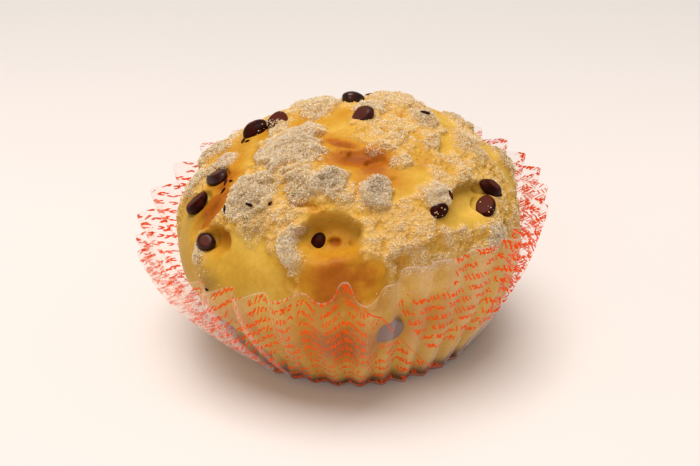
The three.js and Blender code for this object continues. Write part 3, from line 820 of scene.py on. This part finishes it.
def scatterSugar(name, ground):
    # faces are drawn by area * sugar^power; each grain is a crystal, uneven and turned at random
    count, smallest, largest, power, lift, white, seed = sugarKinds[name]
    rng = np.random.default_rng(seed)
    weight = ground["area"] * ground["sugar"] ** power
    count = count // 1
    chosen = rng.choice(len(weight), count, p=weight / weight.sum())
    s, t = rng.random((2, count, 1))
    a, b, c, d = ground["corners"][chosen].transpose(1, 0, 2)
    spot = (a * (1 - s) + b * s) * (1 - t) + (d * (1 - s) + c * s) * t
    spot = spot + ground["normal"][chosen] * (lift * rng.uniform(0.2, 1.6, (count, 1)))
    turned = turnsFrom(unit(rng.normal(size=(count, 4))))
    size = rng.uniform(smallest, largest, (count, 1, 1)) * rng.uniform(0.75, 1.15, (count, 1, 3))
    shape = (crystal + rng.uniform(-sugarLook["uneven"], sugarLook["uneven"], (count, 6, 3))) * size
    vertices = spot[:, None] + np.einsum("nij,nkj->nki", turned, shape)
    faces = (crystalFaces[None] + 6 * np.arange(count)[:, None, None]).reshape(-1, 3)
    piece = makePiece(name, vertices.reshape(-1, 3), [faces], sugarMaterial)
    piece.data.polygons.foreach_set("use_smooth", np.zeros(len(faces), bool))
    for key in sugarKeys:
        addAttribute(piece, key, np.repeat(ground[key][chosen], 6))
    tones = rng.normal(white, sugarLook["toneSpread"], count)
    tones = tones + sugarLook["bySugar"] * (ground["sugar"][chosen] - sugarLook["usualSugar"])
    tones = tones - sugarLook["byGrey"] * ground["grey"][chosen]
    # a few grains are painted whiter, as painted highlights, and made glossier
    paintedGlints = rng.random(count) < sugarLook["paintedGlints"]  # a few catch the light
    tones = np.clip(np.where(paintedGlints, tones + sugarLook["paintedGlint"], tones), 0.03, 1)
    addAttribute(piece, "tone", np.repeat(tones, 6))


bunGround = groundOf(bunVertices, bunFaces, bunMasks)
for name in ("sugar_crystals", "sugar_grains", "sugar_dust"):
    scatterSugar(name, bunGround)

# grains caught on some of the chips, in patches
patchy = smooth(0.0, 0.35, latticeNoise(chipVertices, sugarLook["patchSize"], 91))
chipMasks = {key: np.zeros(len(chipVertices)) for key in sugarKeys}
chipMasks["sugar"] = patchy * perChip(sugarLook["sugaredChips"])
scatterSugar("sugar_on_chips", groundOf(chipVertices, gathered[0], chipMasks))
print("sugar scattered")

filmLook = {
    # the print: spacings, sizes of its marks, and how much larger the rows are that run up the wall
    "rowPitch": 2.3, "markPitch": 1.1, "runPitch": 8.0, "largeScale": 1.45, "tallness": 1.52,
    "rowShift": 40.0, "stroke": 0.2, "arcRadius": 0.4, "tickHalf": 0.6, "barHalf": 0.45, "lineHalf": 0.2,
    "curvedShare": 0.65,
    # the clear film, the painted contact shade along the floor and its ink, each with its painted glow
    "colours": ("efd3c6", "a84a08", "e44c0c"), "paintedGlows": ("f4d8c8", "8a3404", "c83c04"),
    "contactShadeHeights": (0.0002, 0.0013), "contactShadeVeil": 0.75,
    # the veil: its haze, and what the film's bulges, free stretches, edges and rim add to it
    "haze": (0.05, 0.11), "hazeScale": 55, "bulgeHaze": (0.4, 1.2), "freeHaze": 0.13, "grazeVeil": 0.42,
    "pressedVeil": 0.65, "rimVeil": 0.4, "wornScale": 160, "paintedGlow": 0.25, "heldBack": 0.15,
}


def randomOf(a, b):
    # random numbers for a pair of whole numbers: one, and three more
    pair = value("ShaderNodeCombineXYZ", 0, {0: a, 1: b})
    one, three = addNode("ShaderNodeTexWhiteNoise", {"Vector": pair}, noise_dimensions="3D").outputs
    return Flow(one), splitUp(Flow(three))


def cellOf(flow, pitch):
    # the number of the cell that a value falls in, and how far along that cell it is, from 0 to 1
    return calc("FLOOR", flow / pitch), calc("FRACT", flow / pitch)


# rows of small ticks, bars and turned arcs, in uneven runs with gaps between
marks, given, marksOut = makeGroup("printMarks", {"Along": 0.0, "Up": 0.0}, {"Ink": "NodeSocketFloat"})
row, inRow = cellOf(given["Up"], filmLook["rowPitch"])
alongRow = given["Along"] + calc("FRACT", row * 0.6180) * filmLook["rowShift"]
mark, inMark = cellOf(alongRow, filmLook["markPitch"])
run, inRun = cellOf(alongRow, filmLook["runPitch"])
x, y = (inMark - 0.5) * filmLook["markPitch"], (inRow - 0.5) * filmLook["rowPitch"]
chance, parts = randomOf(mark, row)
present = inRun < randomOf(run, row + 50.0)[0] * 0.3 + 0.68
tick = within(x - y * (parts[0] * 0.5 - 0.25), 0.0, filmLook["stroke"])
tick = tick * within(y, 0.0, parts[1] * 0.25 + filmLook["tickHalf"])
angle = parts[0] * (2 * math.pi)
ahead = y * calc("COSINE", angle) - x * calc("SINE", angle)
arc = within(calc("SQRT", x * x + y * y), filmLook["arcRadius"], filmLook["stroke"]) * (ahead > -0.12)
curved = parts[2] > 1 - filmLook["curvedShare"]
bar = within(y, parts[1] - 0.5, filmLook["stroke"]) * within(x, 0.0, filmLook["barHalf"]) * (chance > 0.5)
feed(marksOut, {"Ink": calc("MAXIMUM", arc * curved + tick * (1 - curved), bar) * present})

film, shader = makeMaterial("film")


def markRows(along, up, scale):
    # rows of marks at a scale, each mark taller than wide
    inputs = {"Along": along / scale, "Up": up / (scale * filmLook["tallness"])}
    return value("ShaderNodeGroup", "Ink", inputs, node_tree=marks)


# the rows run level, and up the wall on the left
along, up = splitUp(value("ShaderNodeUVMap", 0, uv_map="wall"))[:2]
large = readAttribute("large") > 0.5
inkHere = markRows(along, up, 1.0) * (1 - large) + markRows(up, along, filmLook["largeScale"]) * large
inkHere = inkHere * (1 - readAttribute("blank"))
thinLine = within(readAttribute("besideLine"), 0.0, filmLook["lineHalf"]) * readAttribute("line")
inkHere = calc("MAXIMUM", inkHere, thinLine)
graze = value("ShaderNodeLayerWeight", "Facing", {"Blend": 0.25})
place = objectPlace()
worn = remap(noise(place, filmLook["wornScale"], 2), 0.3, 0.6, 0.85, 1.0) * remap(graze, 0.35, 0.95, 1.0, 0.3)
worn = worn * (1 - readAttribute("faded"))

# a faint veil: stronger where the film stands clear of the bun, at grazing angles and along the rim
flatHaze, bulgeHaze = filmLook["bulgeHaze"]
haze = remap(noise(place, filmLook["hazeScale"], 3, 0.6), 0.3, 0.7, *filmLook["haze"])
haze = haze * (readAttribute("bulge") * bulgeHaze + flatHaze) + readAttribute("free") * filmLook["freeHaze"]
veil = haze + calc("POWER", graze, 3.0) * filmLook["grazeVeil"]
veil = veil * (1 - readAttribute("pressed") * filmLook["pressedVeil"])
veil = calc("MAXIMUM", veil, readAttribute("rim") * filmLook["rimVeil"])
# a dark brown band painted along the floor: painted contact shade, with the brown of the crust's foot behind
# it
heightHere = splitUp(place)[2]
contactShade = remap(heightHere, *filmLook["contactShadeHeights"], 1.0, 0.0)
veil = calc("MAXIMUM", veil * remap(heightHere, 0.0005, 0.004), contactShade * filmLook["contactShadeVeil"])
# the film's colour, and a painted glow in the same colours: emission standing in for light shining through
# the film
colour, paintedGlow = [blend(inkHere, blend(contactShade, paint(clear), paint(contactShaded)), paint(ink))
                for clear, contactShaded, ink in (filmLook["colours"], filmLook["paintedGlows"])]
# light that passes through the film on its way to the bun and floor is hardly held back
seen = remap(value("ShaderNodeLightPath", "Is Camera Ray"), 0, 1, filmLook["heldBack"], 1.0)
feed(shader, {
    "Base Color": colour, "Alpha": calc("MAXIMUM", veil, inkHere * worn) * seen, "Roughness": 0.4,
    "Specular IOR Level": inkHere * -0.28 + 0.3,
    "Emission Color": paintedGlow, "Emission Strength": filmLook["paintedGlow"],
})

cc, cr = caseForm["columns"], caseForm["rows"]
start = caseForm["foldAzimuth"] + 180  # the seam is at the back
caseAzimuth = start + 360 * np.arange(cc + 1) / cc


def wallRing(azimuth, share):
    # radius of the wall plus its flutes, at a share of the rim's height
    height = caseForm["lift"] + (rimHeight(azimuth) - caseForm["lift"]) * share
    radius = wallRadius(azimuth, height) + fluteOffset(azimuth, np.full_like(azimuth, share))
    x = caseForm["floorCentreX"] + radius * np.cos(np.radians(azimuth))
    return np.stack([x, radius * np.sin(np.radians(azimuth)), height], -1)


# one sheet, from the middle of its floor out to the foot and up the wall
lift = caseForm["lift"]
foot = wallRing(caseAzimuth, 0.0)
middle = np.array([caseForm["floorCentreX"], 0, lift])
outline = [middle * (1 - s) + foot * s for s in caseForm["floorRings"]]
outline += [wallRing(caseAzimuth, s) for s in np.linspace(0, 1, cr)]
caseGrid = np.stack(outline, 1)
caseRows = caseGrid.shape[1]
caseVertices = np.concatenate([caseGrid[:cc].reshape(-1, 3), [middle]])
caseFaces = [gridFaces(cc, caseRows), poleFan(cc, caseRows, cc * caseRows, 0)]
casePiece = makePiece("film_cup", caseVertices, caseFaces, film)
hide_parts("film_case")


def lengthAlong(grid, axis):
    # distance over the grid from its start, point by point
    steps = np.linalg.norm(np.diff(grid, axis=axis), axis=2)
    return np.insert(np.cumsum(steps, axis=axis), 0, 0, axis=axis)


# the print's coordinates: up the wall from the foot, and round each ring from the front fold
firstWall = len(caseForm["floorRings"])
wallUp = lengthAlong(caseGrid, 1)
wallUp = np.maximum(wallUp - wallUp[:, firstWall:firstWall + 1], 0)
wallAlong = lengthAlong(caseGrid, 0)
wallAlong = wallAlong - wallAlong[cc // 2] + caseForm["printStart"]
iGrid, jGrid = np.meshgrid(np.arange(cc), np.arange(caseRows - 1), indexing="ij")
quadColumns = np.stack([iGrid, iGrid + 1, iGrid + 1, iGrid], -1).reshape(-1, 4)
quadRows = np.stack([jGrid, jGrid, jGrid + 1, jGrid + 1], -1).reshape(-1, 4)
loopUv = np.stack([wallAlong[quadColumns, quadRows], wallUp[quadColumns, quadRows]], -1).reshape(-1, 2)
fanUv = np.zeros((len(casePiece.data.loops) - len(loopUv), 2))
layer = casePiece.data.uv_layers.new(name="wall")
layer.uv.foreach_set("vector", np.concatenate([loopUv, fanUv]).astype(np.float32).ravel())

# where the film differs, by azimuth and height
filmPlaces = {
    "curve": [(-38, 0), (-55, 5.2), (-66, 12.4), (-73, 17.7), (-80, 25.8), (-88, 36)],  # a thin printed line
    "bareBeside": 7, "bareFoot": (-12, 10.5), "bareRim": (-86, -54, 30.5), "overChip": (-86, 17.5, 26.5),
    "large": (180, 42, 14), "rim": 0.3, "faded": (-150, 20, 0.5), "pressed": (-96, 22), "free": (180, 48),
}
az = np.degrees(np.arctan2(caseVertices[:, 1], caseVertices[:, 0] - caseForm["floorCentreX"]))
az, z = (az + 180) % 360 - 180, caseVertices[:, 2]
curveAzimuth, curveHeight = np.array(filmPlaces["curve"], float).T
curveAt = np.interp(z, curveHeight, curveAzimuth)


def bellAt(middle, width):
    # exp(-(degrees from the middle / width)^2)
    return np.exp(-(azimuthGap(az, middle) / width) ** 2)


# unprinted: beside the curve, at the foot, at the flattened rim and over the chip that is pressed against it
footEnd, footTop = filmPlaces["bareFoot"]
rimStart, rimEnd, rimFrom = filmPlaces["bareRim"]
chipStart, chipLow, chipHigh = filmPlaces["overChip"]
blank = (az > curveAt) & ((az < curveAt + filmPlaces["bareBeside"]) | (z < footTop) & (az < footEnd))
blank = blank | (az > rimStart) & (az < rimEnd) & (z > rimFrom)
blank = blank | (az > chipStart) & (az < curveAt) & (z > chipLow) & (z < chipHigh)
largeMiddle, largeHalf, largeFrom = filmPlaces["large"]
share = np.clip(z / rimAt(az)[1], 0, 1)
for name, values in {
    "blank": blank, "line": (z > 0.5) & (z < curveHeight[-1]), "besideLine": np.clip(az - curveAt, -10, 10),
    "large": (azimuthGap(az, largeMiddle) < largeHalf) & (z > largeFrom),
    "rim": rimHeight(az) - z < filmPlaces["rim"],
    "faded": filmPlaces["faded"][2] * bellAt(*filmPlaces["faded"][:2]),
    "pressed": bellAt(*filmPlaces["pressed"]),  # close on the baked crust, at the front
    # clear of the bun, at the left and round the back
    "free": np.maximum(smooth(-8, 12, caseVertices[:, 1]), bellAt(*filmPlaces["free"])),
    "bulge": 0.5 + 0.5 * fluteOffset(az, share) / fluteDepth(az, share),
}.items():
    addAttribute(casePiece, name, values)
print("film case made")

stageLook = {
    # the floor's colour near the bun, and a greyer colour painted towards the back: painted falloff of the
    # light
    "floorHalf": 3.0, "near": ("e0d6d1", "e2d8d3"), "far": "cfcac6", "farShadeDepths": (0.06, 0.28),
    "world": (1.0, 0.97, 0.94, 1), "worldStrength": 0.36,
    # metres: place, what it aims at, side, then power and colour
    "lights": {
        "overhead": ((-0.07, 0.04, 1.0), (0, 0, 0), 0.7, 11.1, (1.0, 0.975, 0.945)),
        "front": ((-0.2, -1.1, 0.6), (0, 0, 0.03), 0.9, 3.5, (1.0, 0.95, 0.9)),
    },
}

floorMaterial, shader = makeMaterial("floor")
place = objectPlace()
near = blend(remap(noise(place, 6, 2), 0.3, 0.7), *[paint(code) for code in stageLook["near"]])
# darker towards the back: painted shade
far = remap(splitUp(place)[1], *stageLook["farShadeDepths"])
feed(shader, {
    "Base Color": blend(far, near, paint(stageLook["far"])), "Roughness": 0.6, "Specular IOR Level": 0.2})
floorMesh = bpy.data.meshes.new("floor")
side = stageLook["floorHalf"]
corners = [(-side, -side, 0), (side, -side, 0), (side, side, 0), (-side, side, 0)]
floorMesh.from_pydata(corners, [], [(0, 1, 2, 3)])
floorMesh.materials.append(floorMaterial)
floorPiece = bpy.data.objects.new("floor", floorMesh)
bpy.context.scene.collection.objects.link(floorPiece)

for name, (place, aim, side, power, colour) in stageLook["lights"].items():
    light = bpy.data.lights.new(name, "AREA")
    light.shape, light.size, light.size_y = "RECTANGLE", side, side
    light.energy, light.color = power, colour
    lamp = bpy.data.objects.new(name, light)
    lamp.location = place
    back = np.array(place) - np.array(aim)
    lamp.rotation_euler = (0, math.acos(back[2] / np.linalg.norm(back)), math.atan2(back[1], back[0]))
    bpy.context.scene.collection.objects.link(lamp)
world = bpy.data.worlds.new("studio")
bpy.context.scene.world = world
world.use_nodes = True
feed(world.node_tree.nodes["Background"], {0: stageLook["world"], 1: stageLook["worldStrength"]})

# distances in millimetres; the focal length and the picture's width are in pixels
view = {
    "target": np.array([2.5, 0, 27.9]), "elevation": 28.0, "distance": 550.0, "focal": 2200.0, "width": 700,
    "sensor": 36.0,
}
tilt = math.radians(view["elevation"])
camera = bpy.data.objects.new("camera", bpy.data.cameras.new("camera"))
camera.data.sensor_width = view["sensor"]
camera.data.lens = view["focal"] / view["width"] * view["sensor"]
camera.location = (view["target"] + view["distance"] * np.array([0, -math.cos(tilt), math.sin(tilt)])) * mm
camera.rotation_euler = (math.pi / 2 - tilt, 0, 0)
bpy.context.scene.collection.objects.link(camera)
bpy.context.scene.camera = camera
bpy.context.scene.view_settings.view_transform = "Standard"
print("stage set")
